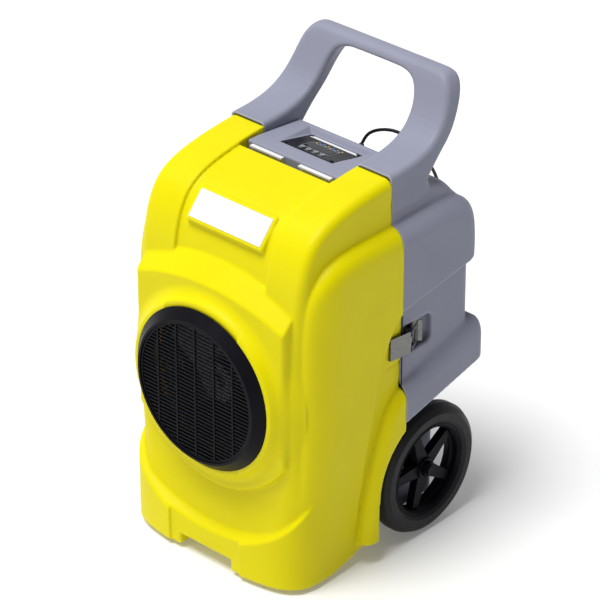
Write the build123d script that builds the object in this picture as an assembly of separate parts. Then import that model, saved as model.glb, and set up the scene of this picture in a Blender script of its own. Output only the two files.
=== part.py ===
from build123d import *
import os
from math import atan2, cos, degrees, pi, radians, sin, tan

# Portable refrigerant dehumidifier: two moulded shells meeting on one upright seam, a refrigeration set on a
# tray between them, two wheels at the back and two feet at the front.
# Millimetres. X is across (right is +), Y runs from front to back and is counted from the seam, Z is up from
# the floor. save() moves every piece by Y_SHIFT, which puts the origin under the middle of the footprint.

WALL = 5.0                      # moulded wall
TOP_Z = 870.0                   # top of the handle's crossbar
FRONT_Y, REAR_Y = -300.0, 217.0  # face of the outlet grille, back of the lower flare
Y_SHIFT = -(FRONT_Y + REAR_Y) / 2
SEAM_GAP = 0.75                 # each shell stops this far from the seam; the gasket fills the rest

BODY_X = 192.0                  # half width of the upper body
POD_X = 222.0                   # half width over the side pods
FLARE_X = 234.0                 # half width over the flare above the wheels
WAIST_X = 216.0                 # half width of the waist, where the latches sit
SHELL_TOP_Z = 740.0
SHELL_FRONT_Y = -246.0
SHELL_BOTTOM_Z = 10.0
LOWER_X, LOWER_REAR_Y, LOWER_BOTTOM_Z = 172.0, 154.0, 30.0

WHEEL_R, WHEEL_Y = 127.0, 75.0  # a 254 mm (10 inch) wheel
WHEEL_X0, WHEEL_X1 = 182.0, 230.0
WHEEL_MID_X = (WHEEL_X0 + WHEEL_X1) / 2
ARCH_R, ARCH_X = 141.0, 176.0   # clearance cut round each wheel
AXLE_R, RUNNING = 8.0, 0.05     # axle radius, radial running clearance

OUTLET_Z = 366.0                # axis of the outlet, fan and motor
COLLAR_Y, COLLAR_R0, COLLAR_R1 = -282.0, 179.0, 160.0
OUTLET_BORE_R = 150.0
RING_R0, RING_R1 = 157.0, 139.0

PANEL_Y0, PANEL_Z0 = -9.0, 730.0   # front edge of the control plate
PANEL_Y1, PANEL_Z1 = 72.0, 712.0   # rear edge
PANEL_HALF_X, PANEL_T = 61.0, 2.0
PANEL_TILT = degrees(atan2(PANEL_Z1 - PANEL_Z0, PANEL_Y1 - PANEL_Y0))
KEY_COUNT, KEY_PITCH, KEY_R, KEY_PROUD = 4, 16.0, 5.0, 0.8

LATCH_X, LATCH_Y, LATCH_Z = 216.0, 10.0, 423.0   # pivot of the lever on its bracket
CLAW_PIVOT = (-2.0, 16.0)       # claw pivot from the lever pivot: outward, rearward
LATCH_PIN_R = 2.5
POCKET_X, POCKET_Y0, POCKET_Y1, POCKET_HALF_Z = 200.0, 2.5, 85.0, 29.0

INTAKE_HALF_X, INTAKE_Z0, INTAKE_Z1 = 126.0, 322.0, 552.0
INTAKE_Y = 178.0                # floor of the rear recess

CORD_D = 6.0
COIL_MID_R, COIL_ROWS, COIL_LAYERS = 36.0, 4, 4
COIL_X, COIL_Y = -52.0, 300.0
GLAND = (24.0, 104.0, 699.2)    # on the slope behind the console
GLAND_WAY, GLAND_TOP = (0, 0.543, 0.84), 12.0
# The cord's route by hand: out of the gland, up in a loop behind the right leg, over the shoulder, down the
# back beside the air filter and along the floor into the coil.
CORD_ROUTE = [
    (24, 110.5, 709.3), (24.5, 118, 720.5), (36, 124, 733), (58, 130, 742), (82, 137, 744), (106, 147, 731),
    (124, 161, 705), (125, 182, 672), (116, 206, 640), (112, 226, 601), (106, 236, 556), (100, 240, 506),
    (93, 242, 450), (86, 244, 392), (80, 246, 334), (75, 248, 276), (71, 250, 218), (68, 253, 162),
    (65, 257, 110), (59, 262, 64), (46, 267, 28), (22, 268, 7), (-6, 263, 3), (-30, 257, 3), (-52, 255, 3),
]
# Its tail, from the top of the coil down to the plug beside it.
TAIL_ROUTE = [(-58, 267.6, 21), (-78, 267, 20.5), (-97, 266.6, 16.4), (-115, 267, 12)]
PLUG_X, PLUG_Y, PLUG_Z = -115.0, 267.0, 12.0    # where the cord enters the plug

ORIGIN_SHIFT = Location((0, Y_SHIFT, 0))
SIDES = {"left": -1, "right": 1}


# ---- small helpers ----

def box(x0, x1, y0, y1, z0, z1):
    return Pos((x0 + x1) / 2, (y0 + y1) / 2, (z0 + z1) / 2) * Box(x1 - x0, y1 - y0, z1 - z0)


def sheet(axis, at):
    """Sketch plane across an axis: its own x, y are (y, z), (x, z) or (x, y)."""
    if axis == "x":
        return Plane((at, 0, 0), x_dir=(0, 1, 0), z_dir=(1, 0, 0))
    if axis == "y":
        return Plane((0, at, 0), x_dir=(1, 0, 0), z_dir=(0, -1, 0))
    return Plane((0, 0, at), x_dir=(1, 0, 0), z_dir=(0, 0, 1))


def slab(face, axis, low, high):
    """A flat outline made into a prism from low to high along an axis."""
    start = high if axis == "y" else low
    return extrude(sheet(axis, start) * face, high - low)


def polygon(points, radius=0.0):
    face = make_face(Polyline(*points, close=True))
    return fillet(face.vertices(), radius) if radius else face


def prism(points, axis, low, high, radius=0.0):
    return slab(polygon(points, radius), axis, low, high)


def rod(axis, u, v, radius, low, high):
    """Round bar along an axis; u, v are the other two coordinates in X, Y, Z order."""
    at = {"x": (low, u, v), "y": (u, low, v), "z": (u, v, low)}[axis]
    way = {"x": (1, 0, 0), "y": (0, 1, 0), "z": (0, 0, 1)}[axis]
    return extrude(Plane(at, z_dir=way) * Circle(radius), high - low)


def tube(axis, u, v, outer, inner, low, high):
    return rod(axis, u, v, outer, low, high) - rod(axis, u, v, inner, low - 1, high + 1)


def frustum_y(r_back, r_front, y_back, y_front):
    """Cone on the outlet's axis, from y_back forward to y_front."""
    back = Plane((0, y_back, OUTLET_Z), z_dir=(0, -1, 0)) * Circle(r_back)
    front = Plane((0, y_front, OUTLET_Z), z_dir=(0, -1, 0)) * Circle(r_front)
    return loft([back, front])


def pad(inner_points, x_inner, outer_points, x_outer):
    """Raised pad on the right side, tapering from one outline at x_inner to another at x_outer."""
    inner, outer = sheet("x", x_inner) * polygon(inner_points), sheet("x", x_outer) * polygon(outer_points)
    return loft([inner, outer], ruled=True)


def both_sides(shape):
    return shape + mirror(shape, Plane.YZ)


def pipe(points, radius, bend):
    path = FilletPolyline(*points, radius=bend)
    return sweep(Plane(path @ 0, z_dir=path % 0) * Circle(radius), path=path)


def save(name, shape):
    solids = shape.solids()
    placed = [ORIGIN_SHIFT * solid for solid in solids]
    export_step(placed[0] if len(placed) == 1 else Compound(children=placed), f"parts/{name}.step")


# ---- the two shells ----

def wheel_houses(gap, x_inner):
    return both_sides(rod("x", WHEEL_Y, WHEEL_R, ARCH_R + gap, x_inner, FLARE_X + 20))


def column(t):
    """Upper body of the front shell: flat top rolling forward into the front."""
    with BuildLine() as line:
        Polyline((SEAM_GAP, SHELL_TOP_Z - t), (-88, SHELL_TOP_Z - 6 - t))
        ThreePointArc((-88, SHELL_TOP_Z - 6 - t), (-198 + 0.7 * t, 688 - 0.7 * t), (-238 + t, 575))
        Polyline((-238 + t, 575), (SHELL_FRONT_Y + t, 480), (SHELL_FRONT_Y + t, SHELL_BOTTOM_Z + t),
                 (SEAM_GAP, SHELL_BOTTOM_Z + t), (SEAM_GAP, SHELL_TOP_Z - t))
    half = BODY_X - t
    solid = slab(make_face(line.line), "x", -half, half)
    rims = solid.edges().filter_by(lambda e: abs(abs(e.center().X) - half) < 0.1
                                   and e.center().Z > SHELL_BOTTOM_Z + t + 1
                                   and e.center().Y < -1)
    return fillet(rims, 28 - t)


def front_pods(t):
    low, high = 90 + t, 184
    inner = [(SEAM_GAP, 650 - t), (-140, 650 - t), (-205, 610 - t), (-232 + t, 540), (-236 + t, 250),
             (-236 + t, low), (SEAM_GAP, low)]
    outer = [(SEAM_GAP, 613), (-115, 610), (-152, 582), (-164 + t / 2, 535), (-168 + t / 2, 383),
             (-182 + t / 2, high), (SEAM_GAP, high)]
    return both_sides(pad(inner, BODY_X - 12, outer, POD_X - t))


def fender(t):
    """Flare of the front shell round the front of each wheel."""
    bottom = SHELL_BOTTOM_Z + 8 + t
    inner = [(SEAM_GAP, 335 - t), (-20 + t, 322 - t), (-45 + t, 290 - t), (-62 + t, 240), (-78 + t, 168),
             (-88 + t, 85), (-92 + t, bottom), (SEAM_GAP, bottom)]
    outer = [(SEAM_GAP, 303 - t), (-15 + t, 292 - t), (-35 + t, 270 - t), (-52 + t, 232), (-68 + t, 168),
             (-77 + t, 85), (-82 + t, bottom), (SEAM_GAP, bottom)]
    return both_sides(pad(inner, BODY_X - 6, outer, FLARE_X - 1 - t))


def plinth(t):
    with BuildLine() as line:
        ThreePointArc((-BODY_X + t, -262 + t), (0, -287 + t), (BODY_X - t, -262 + t))
        Polyline((BODY_X - t, -262 + t), (BODY_X - t, SEAM_GAP), (-BODY_X + t, SEAM_GAP),
                 (-BODY_X + t, -262 + t))
    face = make_face(line.line)
    corners = [v for v in face.vertices() if v.Y < -200]
    return slab(fillet(corners, 60 - t), "z", SHELL_BOTTOM_Z + t, 112 - t)


def pillow():
    """Raised lower block on the front, under the arched ledge."""
    arch = Pos(0, 97) * Circle(470)
    block = Pos(0, 366) * Rectangle(2 * BODY_X - 8, 420)
    disc = Pos(0, OUTLET_Z) * Circle(212)
    side = Pos(0, 476) * Rectangle(2 * BODY_X - 8, 220)
    face = (block & arch) & (disc + side)
    return slab(face, "y", -258, SHELL_FRONT_Y + WALL + 1)


NOTCH_Z = 690.0


def latch_flat(side, t):
    """Shallow flat cut into the front shell where the claw lies; t thickens it for the inside of the wall."""
    x = side * (LATCH_X - 0.8 - t)
    half_z = POCKET_HALF_Z + t
    return box(*sorted((x, side * 240)), -54 - t, 5, LATCH_Z - half_z, LATCH_Z + half_z)


def make_front_shell():
    centre_recess = (column(0) - column(9)) & box(-109, 109, -260, -61, 566, 760)
    outer = column(0) - centre_recess
    outer += front_pods(0)
    outer += fender(0)
    outer += plinth(0)
    outer += pillow()
    outer += frustum_y(COLLAR_R0, COLLAR_R1, SHELL_FRONT_Y + WALL + 1, COLLAR_Y)
    inner = column(WALL) - box(-116, 116, -270, 2, 560, 760)
    inner += column(WALL + 9) & box(-116, 116, -270, 2, 550, 760)
    inner += front_pods(WALL)
    inner += fender(WALL)
    inner += plinth(WALL)
    inner -= wheel_houses(WALL, ARCH_X - WALL)
    inner -= box(-110 - WALL, 110 + WALL, -61 - WALL, 2, NOTCH_Z - WALL, 760)
    inner -= box(-68 - WALL, 68 + WALL, -300, -240 + WALL, 0, 30 + WALL)
    inner -= box(-86 - WALL, 86 + WALL, -300, -276 + WALL, 0, 97 + WALL)
    for side in SIDES.values():
        inner -= latch_flat(side, WALL)
    shell = outer - inner - wheel_houses(0, ARCH_X)
    shell -= rod("y", 0, OUTLET_Z, OUTLET_BORE_R, COLLAR_Y - 1, SHELL_FRONT_Y + 20)
    shell -= box(-110, 110, -61, 5, NOTCH_Z, 760)             # notch that the console sits in
    shell -= box(-68, 68, -300, -240, 0, 30)                  # hand hold under the front edge
    shell -= box(-86, 86, -300, -276, 0, 97)                  # shallow recess in the plinth
    for side in SIDES.values():                               # flat under each latch
        shell -= latch_flat(side, 0)
    return largest(shell & box(-260, 260, -310, -SEAM_GAP, 0, 760))


def largest(shape):
    return shape.solids().sort_by(SortBy.VOLUME)[-1]


def rear_body(t):
    points = [(-SEAM_GAP, 705 - t), (95, 705 - t), (112 - t / 2, 694 - t), (145 - t / 2, 680 - t),
              (181 - t, 645 - t / 2), (201 - t, 609), (214 - t, 576), (214 - t, 500),
              (188 - t, 476), (188 - t, 400), (-SEAM_GAP, 400)]
    return prism(points, "x", -BODY_X + t, BODY_X - t)


def rear_pods(t):
    inner = [(-SEAM_GAP, 650 - t), (125, 655 - t), (181 - t, 645 - t), (201 - t, 609), (214 - t, 576),
             (214 - t, 512), (188 - t, 492 + t), (-SEAM_GAP, 470 + t)]
    outer = [(-SEAM_GAP, 613), (110, 613), (150, 600), (170 - t / 2, 580), (180 - t / 2, 555),
             (182 - t / 2, 530), (176 - t / 2, 512), (-SEAM_GAP, 487)]
    return both_sides(pad(inner, BODY_X - 12, outer, POD_X - t))


def waist(t):
    half, rear = WAIST_X - t, 188 - t
    points = [(-half, -SEAM_GAP), (half, -SEAM_GAP), (half, rear), (-half, rear)]
    face = polygon(points)
    corners = [v for v in face.vertices() if v.Y > 10]
    return slab(fillet(corners, 40 - t), "z", 330, 506)


def flare(t):
    """Skirt over the wheels, running round the back."""
    inner = [(-SEAM_GAP, 340 - t), (100, 368 - t), (185 - t, 388 - t), (REAR_Y - t, 335),
             (REAR_Y - t, 322 + t / 2), (188, 306 + t), (90, 288 + t), (-SEAM_GAP, 264 + t)]
    outer = [(-SEAM_GAP, 303), (100, 335), (158, 350), (180 - t / 2, 336), (180 - t / 2, 316),
             (164, 302 + t), (90, 288 + t), (-SEAM_GAP, 264 + t)]
    middle = prism(inner, "x", -206 + t, 206 - t)
    return middle + both_sides(pad(inner, 206 - t, outer, FLARE_X - t))


def lower_box(t):
    points = [(-LOWER_X + t, -SEAM_GAP), (LOWER_X - t, -SEAM_GAP), (LOWER_X - t, LOWER_REAR_Y - t),
              (-LOWER_X + t, LOWER_REAR_Y - t)]
    face = polygon(points)
    corners = [v for v in face.vertices() if v.Y > 10]
    return slab(fillet(corners, 24 - t), "z", LOWER_BOTTOM_Z + t, 330)


def handle(t):
    """Two legs sweeping back and up from the shoulders to a crossbar, hollow like the rest."""
    with BuildLine() as side:
        low = 690 - 6 * t
        Polyline((-SEAM_GAP, low), (-SEAM_GAP, 744 - t))
        Spline((-SEAM_GAP, 744 - t), (60, 748 - t), (110 + t / 2, 763 - t), (145 + t, 797), (168 + t, 845),
               tangents=[(1, 0.02), (0.45, 1)])
        Polyline((168 + t, 845), (178 + t, TOP_Z - 4 - t), (190, TOP_Z - t), (206 - t, TOP_Z - 3 - t),
                 (211 - t, 858))
        Spline((211 - t, 858), (196 - t, 818), (172 - t, 776), (138 - t, 742 + t), (100, 700),
               tangents=[(-0.4, -1), (-0.8, -1)])
        Polyline((100, 700), (100, low), (-SEAM_GAP, low))
    band = slab(make_face(side.line), "x", -BODY_X, BODY_X)
    outer = [(-BODY_X + t, 600), (-190 + t, 740), (-182 + t, 795), (-166 + t, 900), (166 - t, 900),
             (182 - t, 795), (190 - t, 740), (BODY_X - t, 600)]
    window = [(-111 - t, 560), (-111 - t, 760), (-98 - t, 846 - t), (98 + t, 846 - t), (111 + t, 760),
              (111 + t, 560)]
    opening = polygon(window)
    opening = fillet([v for v in opening.vertices() if v.Y > 800], 34 + t)
    frame = slab(polygon(outer) - opening, "y", -10, 240)
    return band & frame


def console(t):
    half = 108 - t
    points = [(-44 + t, 696 + t), (-44 + t, 724 - t), (-38 + t, 728 - t), (-26, 729.5 - t), (-18, 730 - t),
              (76 - t, 709 - t), (84 - t, 720 - t), (94 - t, 720 - t), (94 - t, 696 - t),
              (-SEAM_GAP, 640), (-SEAM_GAP, 696 + t)]
    return prism(points, "x", -half, half)


def panel_plane(depth=0.0):
    """Plane on the control plate's top face: its x is X, its y runs up the slope to the rear."""
    base = Plane((0, (PANEL_Y0 + PANEL_Y1) / 2, (PANEL_Z0 + PANEL_Z1) / 2), x_dir=(1, 0, 0),
                 z_dir=(0, sin(radians(-PANEL_TILT)), cos(radians(PANEL_TILT))))
    return base.offset(-depth)


PANEL_LENGTH = ((PANEL_Y1 - PANEL_Y0) ** 2 + (PANEL_Z1 - PANEL_Z0) ** 2) ** 0.5


def panel_block(half_x, half_y, low, high):
    """Block on the control plate's plane, from low to high above the plate's top face."""
    return extrude(panel_plane(-low) * Rectangle(2 * half_x, 2 * half_y), high - low)


def make_rear_shell():
    outer = rear_body(0) + rear_pods(0) + waist(0) + flare(0) + lower_box(0) + handle(0) + console(0)
    inner = rear_body(WALL) + rear_pods(WALL) + waist(WALL) + flare(WALL) + lower_box(WALL)
    inner += handle(WALL) + console(WALL)
    inner -= wheel_houses(WALL, ARCH_X - WALL)
    inner -= box(-146, 146, INTAKE_Y - WALL, 240, 305, 573)
    for side in SIDES.values():
        inner -= box(*sorted((side * (POCKET_X - WALL), side * 240)), -5, POCKET_Y1 + WALL,
                     LATCH_Z - POCKET_HALF_Z - WALL, LATCH_Z + POCKET_HALF_Z + WALL)
    shell = outer - inner - wheel_houses(0, ARCH_X)
    shell -= box(-140, 140, INTAKE_Y, 240, 311, 567)                       # recess for the intake frame
    shell -= box(-INTAKE_HALF_X, INTAKE_HALF_X, 150, 240, INTAKE_Z0, INTAKE_Z1)
    shell -= panel_block(PANEL_HALF_X + 0.5, PANEL_LENGTH / 2 + 0.5, -PANEL_T, 30)
    shell -= panel_block(PANEL_HALF_X - 10, PANEL_LENGTH / 2 - 10, -20, 30)
    shell -= rod("x", WHEEL_Y, WHEEL_R, AXLE_R + 0.5, -190, 190)
    shell -= rod("y", DRAIN_X, DRAIN_Z, 8.0, 140, 160)
    shell -= gland_bar(8.0, -30, 30) + gland_bar(11.5, 0, 30)
    for side in SIDES.values():
        shell -= box(*sorted((side * POCKET_X, side * 240)), POCKET_Y0, POCKET_Y1, LATCH_Z - POCKET_HALF_Z,
                     LATCH_Z + POCKET_HALF_Z)
    for x, y in screw_places():
        shell -= extrude(panel_plane(8) * Pos(x, y) * Circle(1.7), 10)
    upper = shell & box(-260, 260, SEAM_GAP, 260, 0, 900)
    tongue = shell & box(-108, 108, -60, SEAM_GAP, 660, 760)               # console part ahead of the seam
    return largest(upper + tongue)


def gland_plane(offset):
    """Plane across the cord gland, square to the sloping deck."""
    return Plane(GLAND, z_dir=GLAND_WAY).offset(offset)


def gland_bar(radius, low, high):
    return extrude(gland_plane(low) * Circle(radius), high - low)


def make_seam_gasket():
    """Rubber strip between the flanges of the two shells, down each side from the console to the wheels."""
    def outline(t):
        return polygon([(100, SHELL_TOP_Z - t), (162, SHELL_TOP_Z - t), (184 - t, 731 - t), (BODY_X - t, 710),
                        (BODY_X - t, 639 - t / 2), (POD_X - t, 612 - t / 2), (POD_X - t, 311),
                        (FLARE_X - 1 - t, 302), (FLARE_X - 1 - t, 240), (100, 240)])

    ring = slab(outline(1.4) - outline(WALL - 1.4), "y", -SEAM_GAP, SEAM_GAP)
    return both_sides(ring & box(114, 240, -5, 5, 262, 760))


# ---- outlet, fan and motor ----

def make_outlet_ring():
    """Tapered bezel in front of the collar, with a spigot that plugs into it."""
    bezel = frustum_y(RING_R0, RING_R1, COLLAR_Y, FRONT_Y)
    bezel -= frustum_y(RING_R0 - 10, RING_R1 - 5, COLLAR_Y, FRONT_Y)
    return bezel + tube("y", 0, OUTLET_Z, OUTLET_BORE_R - 0.3, OUTLET_BORE_R - 6, COLLAR_Y - 0.5, -252)


def make_outlet_grille():
    """Flat guard of fine level slats on upright ribs, set in the bezel."""
    y0, y1, radius = FRONT_Y + 2, FRONT_Y + 7, RING_R1 - 5.5
    rim = tube("y", 0, OUTLET_Z, radius, radius - 4, y0, y1)
    disc = rod("y", 0, OUTLET_Z, radius - 2, y0, y1)
    ribs = [box(x - 1.75, x + 1.75, y0, y1, OUTLET_Z - radius, OUTLET_Z + radius)
            for x in (-90, -45, 0, 45, 90)]
    pitch = 7.5
    count = int(radius / pitch)
    slats = [box(-radius, radius, y0 + 1, y1 - 1, OUTLET_Z + i * pitch - 1.6, OUTLET_Z + i * pitch + 1.6)
             for i in range(-count, count + 1)]
    grid = ribs[0].fuse(*ribs[1:], *slats)
    return largest(rim + (grid & disc))


FAN_Y0, FAN_Y1, FAN_R = -244.0, -206.0, 128.0
MOTOR_R, MOTOR_Y0, MOTOR_Y1 = 50.0, -190.0, -96.0
SHROUD_Y0, SHROUD_Y1 = -240.0, -196.0


def make_fan_shroud():
    ring = tube("y", 0, OUTLET_Z, 138, 133, SHROUD_Y0, SHROUD_Y1)
    plate = box(-150, 150, SHROUD_Y1 - 4, SHROUD_Y1, OUTLET_Z - 150, OUTLET_Z + 150)
    plate -= rod("y", 0, OUTLET_Z, 133, SHROUD_Y1 - 5, SHROUD_Y1 + 1)
    posts = [rod("y", x, OUTLET_Z + z, 7, SHELL_FRONT_Y + WALL, SHROUD_Y1 - 3)
             for x in (-140, 140) for z in (-140, 105)]
    return ring.fuse(plate, *posts)


def make_fan_bracket():
    """Four arms from the shroud plate to a ring round the motor."""
    arms = [Pos(0, 0, OUTLET_Z) * Rot(0, angle, 0) * box(MOTOR_R + 3, 148, SHROUD_Y1, SHROUD_Y1 + 4, -9, 9)
            for angle in (45, 135, 225, 315)]
    sleeve = tube("y", 0, OUTLET_Z, MOTOR_R + 4, MOTOR_R, MOTOR_Y0, MOTOR_Y0 + 22)
    links = [Pos(0, 0, OUTLET_Z) * Rot(0, angle, 0)
             * box(MOTOR_R + 2, MOTOR_R + 12, SHROUD_Y1, MOTOR_Y0 + 20, -9, 9)
             for angle in (45, 135, 225, 315)]
    return sleeve.fuse(*arms, *links)


def make_fan_motor():
    can = rod("y", 0, OUTLET_Z, MOTOR_R, MOTOR_Y0, MOTOR_Y1)
    nose = rod("y", 0, OUTLET_Z, 18, MOTOR_Y0 - 6, MOTOR_Y0)
    return can + nose - rod("y", 0, OUTLET_Z, 6 + RUNNING, MOTOR_Y0 - 7, MOTOR_Y0 + 42)


def make_fan_blades():
    """Hub, shaft and swept blades, turning together."""
    hub = tube("y", 0, OUTLET_Z, 40, 34, FAN_Y0 + 4, FAN_Y1) + rod("y", 0, OUTLET_Z, 40, FAN_Y0, FAN_Y0 + 5)
    cap = rod("y", 0, OUTLET_Z, 15, FAN_Y0 - 8, FAN_Y0)
    shaft = rod("y", 0, OUTLET_Z, 6, FAN_Y0, MOTOR_Y0 + 40)
    blade_count, pitch_angle = 5, 28
    blades = []
    for i in range(blade_count):
        blade = Pos(82, (FAN_Y0 + FAN_Y1) / 2, 0) * Rot(pitch_angle, 0, 0) * Box(96, 3, 62)
        blades.append(Pos(0, 0, OUTLET_Z) * Rot(0, 360 / blade_count * i, 0) * blade)
    swept = tube("y", 0, OUTLET_Z, FAN_R, 37, FAN_Y0, FAN_Y1)
    solid = hub.fuse(cap, shaft, *[blade & swept for blade in blades])
    return largest(solid)


# ---- refrigeration set ----

TRAY_Z0, TRAY_Z1 = 40.0, 43.0
COMPRESSOR = (70.0, -95.0)
COMPRESSOR_R, COMPRESSOR_Z0, COMPRESSOR_Z1 = 68.0, 62.0, 250.0
COIL_X1, COIL_Z0, COIL_Z1 = 118.0, 300.0, 580.0
CONDENSER_Y, EVAPORATOR_Y = (45.0, 88.0), (102.0, 142.0)
LINE_R = 5.0
DRIER = (-146.0, 20.0)


def make_base_tray():
    plate = box(-164, 164, -214, 140, TRAY_Z0, TRAY_Z1)
    front_legs = [box(x - 12, x + 12, y - 12, y + 12, SHELL_BOTTOM_Z + WALL, TRAY_Z0)
                  for x in (-120, 120) for y in (-190, -40)]
    rear_legs = [box(x - 12, x + 12, 108, 132, LOWER_BOTTOM_Z + WALL, TRAY_Z0) for x in (-120, 120)]
    return plate.fuse(*front_legs, *rear_legs)


def make_axle_brackets():
    plates = [box(x - 2, x + 2, WHEEL_Y - 30, WHEEL_Y + 30, TRAY_Z1, WHEEL_R + 24) for x in (-150, 150)]
    hole = rod("x", WHEEL_Y, WHEEL_R, AXLE_R, -170, 170)
    return plates[0] + plates[1] - hole


def compressor_feet():
    return [(COMPRESSOR[0] + 82 * cos(a), COMPRESSOR[1] + 82 * sin(a))
            for a in (pi / 6, 5 * pi / 6, 3 * pi / 2)]


def make_compressor():
    can = rod("z", *COMPRESSOR, COMPRESSOR_R, COMPRESSOR_Z0 + 4, COMPRESSOR_Z1)
    can = fillet(can.edges().group_by(Axis.Z)[-1], 24)
    can += rod("z", *COMPRESSOR, COMPRESSOR_R + 3, 150, 156)
    plate = rod("z", *COMPRESSOR, COMPRESSOR_R + 2, COMPRESSOR_Z0, COMPRESSOR_Z0 + 5)
    lugs = [rod("z", x, y, 15, COMPRESSOR_Z0, COMPRESSOR_Z0 + 5) for x, y in compressor_feet()]
    body = can.fuse(plate, *lugs)
    for x, y in compressor_feet():
        body -= rod("z", x, y, 5, COMPRESSOR_Z0 - 1, COMPRESSOR_Z0 + 6)
    return body


def make_compressor_mounts():
    grommets = [tube("z", x, y, 13, 4, TRAY_Z1, COMPRESSOR_Z0) for x, y in compressor_feet()]
    return grommets[0].fuse(*grommets[1:])


def make_compressor_bolts():
    bolts = [rod("z", x, y, 4, TRAY_Z1, COMPRESSOR_Z0 + 9)
             + rod("z", x, y, 8, COMPRESSOR_Z0 + 5, COMPRESSOR_Z0 + 10) for x, y in compressor_feet()]
    return bolts[0].fuse(*bolts[1:])


def coil(y_range):
    """Fin pack between two end plates, with a stack of return bends at each end."""
    y0, y1 = y_range
    middle = (y0 + y1) / 2
    pack = box(-COIL_X1 + 2, COIL_X1 - 2, y0 + 2, y1 - 2, COIL_Z0 + 2, COIL_Z1 - 2)
    ends = [box(x, x + 2, y0, y1, COIL_Z0, COIL_Z1) for x in (-COIL_X1, COIL_X1 - 2)]
    bends = []
    for side in (-1, 1):
        for i in range(5):
            z = COIL_Z0 + 40 + i * 50
            ring = Pos(side * COIL_X1, middle, z) * Rot(90, 0, 0) * Torus(12, 4)
            keep = box(*sorted((side * COIL_X1, side * (COIL_X1 + 20))), y0, y1, z - 20, z + 20)
            bends.append(ring & keep)
    return pack.fuse(*ends, *bends)


def make_drip_pan():
    tub = box(-COIL_X1 - 8, COIL_X1 + 8, EVAPORATOR_Y[0] - 6, EVAPORATOR_Y[1] + 6, 280, 297)
    hollow = box(-COIL_X1 - 6, COIL_X1 + 6, EVAPORATOR_Y[0] - 4, EVAPORATOR_Y[1] + 4, 283, 298)
    rests = [box(x - 8, x + 8, EVAPORATOR_Y[0], EVAPORATOR_Y[1], 283, COIL_Z0) for x in (-100, 100)]
    return tub - hollow + rests[0] + rests[1]


def make_coil_frame():
    """Bent steel frame that stands on the tray and carries the pan and the condenser."""
    posts = [box(x - 2, x + 2, CONDENSER_Y[0], EVAPORATOR_Y[1], TRAY_Z1 + 110, 280) for x in (-128, 128)]
    feet = [box(*sorted((side * 130, side * 152)), 108, 130, TRAY_Z1, TRAY_Z1 + 112) for side in (-1, 1)]
    shelf = box(-130, 130, CONDENSER_Y[0], CONDENSER_Y[1] + 4, COIL_Z0 - 3, COIL_Z0)
    webs = [box(x - 2, x + 2, CONDENSER_Y[0], CONDENSER_Y[1] + 4, 279, COIL_Z0 - 2) for x in (-128, 128)]
    return posts[0].fuse(posts[1], *feet, shelf, *webs)


def make_refrigerant_lines():
    cx, cy = COMPRESSOR
    condenser_y, evaporator_y = sum(CONDENSER_Y) / 2, sum(EVAPORATOR_Y) / 2
    drier_x, drier_y = DRIER
    top = COIL_Z1 + 22
    discharge = pipe([(cx - 30, cy + 10, COMPRESSOR_Z1), (cx - 30, cy + 10, 272), (40, condenser_y, 272),
                      (40, condenser_y, COIL_Z0 - 3)], LINE_R, 9)
    liquid = pipe([(-100, condenser_y, COIL_Z0 - 3), (-100, condenser_y, 268), (drier_x, drier_y, 268),
                   (drier_x, drier_y, 330)], LINE_R - 1, 12)
    feed = pipe([(drier_x, drier_y, 430), (drier_x, drier_y, top), (-100, evaporator_y, top),
                 (-100, evaporator_y, COIL_Z1 + 0.5)], LINE_R - 1, 12)
    suction = pipe([(100, evaporator_y, COIL_Z1 + 0.5), (100, evaporator_y, top), (152, 10, top),
                    (152, -60, 560), (152, -60, 290), (cx + 30, cy + 10, 275), (cx + 30, cy + 10, COMPRESSOR_Z1)], LINE_R + 1, 11)
    return discharge.fuse(liquid, feed, suction)


def make_filter_drier():
    barrel = rod("z", *DRIER, 18, 342, 418)
    ends = [rod("z", *DRIER, 9, 330, 342), rod("z", *DRIER, 9, 418, 430)]
    return barrel.fuse(*ends)


# ---- water side ----

TANK = (-150.0, -64.0, -56.0, 24.0)
TANK_Z = 150.0
DRAIN_X, DRAIN_Z = -104.0, 240.0
DRAIN_R, DRAIN_END_Y = 6.0, 186.0


def make_pump_tank():
    x0, x1, y0, y1 = TANK
    return box(x0, x1, y0, y1, TRAY_Z1, TANK_Z) - box(x0 + 3, x1 - 3, y0 + 3, y1 - 3, TRAY_Z1 + 3, TANK_Z + 1)


def make_condensate_pump():
    x0, x1, y0, y1 = TANK
    deck = box(x0, x1, y0, y1, TANK_Z, TANK_Z + 4) - rod("z", -80, -20, 9, TANK_Z - 1, TANK_Z + 5)
    deck -= rod("z", -76, 12, 6, TANK_Z - 1, TANK_Z + 5)
    motor = rod("z", -122, -22, 24, TANK_Z + 4, TANK_Z + 52)
    inlet = rod("z", -122, -22, 10, TRAY_Z1 + 12, TANK_Z)
    outlet = rod("z", -122, -22, 6, TANK_Z + 52, TANK_Z + 60)
    return deck.fuse(motor, inlet, outlet)


def make_float_switch():
    head = rod("z", -80, -20, 13, TANK_Z + 4, TANK_Z + 16)
    stem = rod("z", -80, -20, 4, 90, TANK_Z + 4)
    ball = rod("z", -80, -20, 12, 96, 118)
    return head.fuse(stem, ball)


def make_drain_hoses():
    """Hose from the pan down to the tank, and hose from the pump to the drain spigot."""
    up = pipe([(-122, -22, TANK_Z + 60), (-122, -22, DRAIN_Z), (DRAIN_X, LOWER_REAR_Y - WALL - 9, DRAIN_Z)],
              6, 18)
    down = pipe([(-76, 116, 280), (-76, 116, 262), (-76, 12, 216), (-76, 12, TANK_Z)], 5, 14)
    return up.fuse(down)


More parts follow.
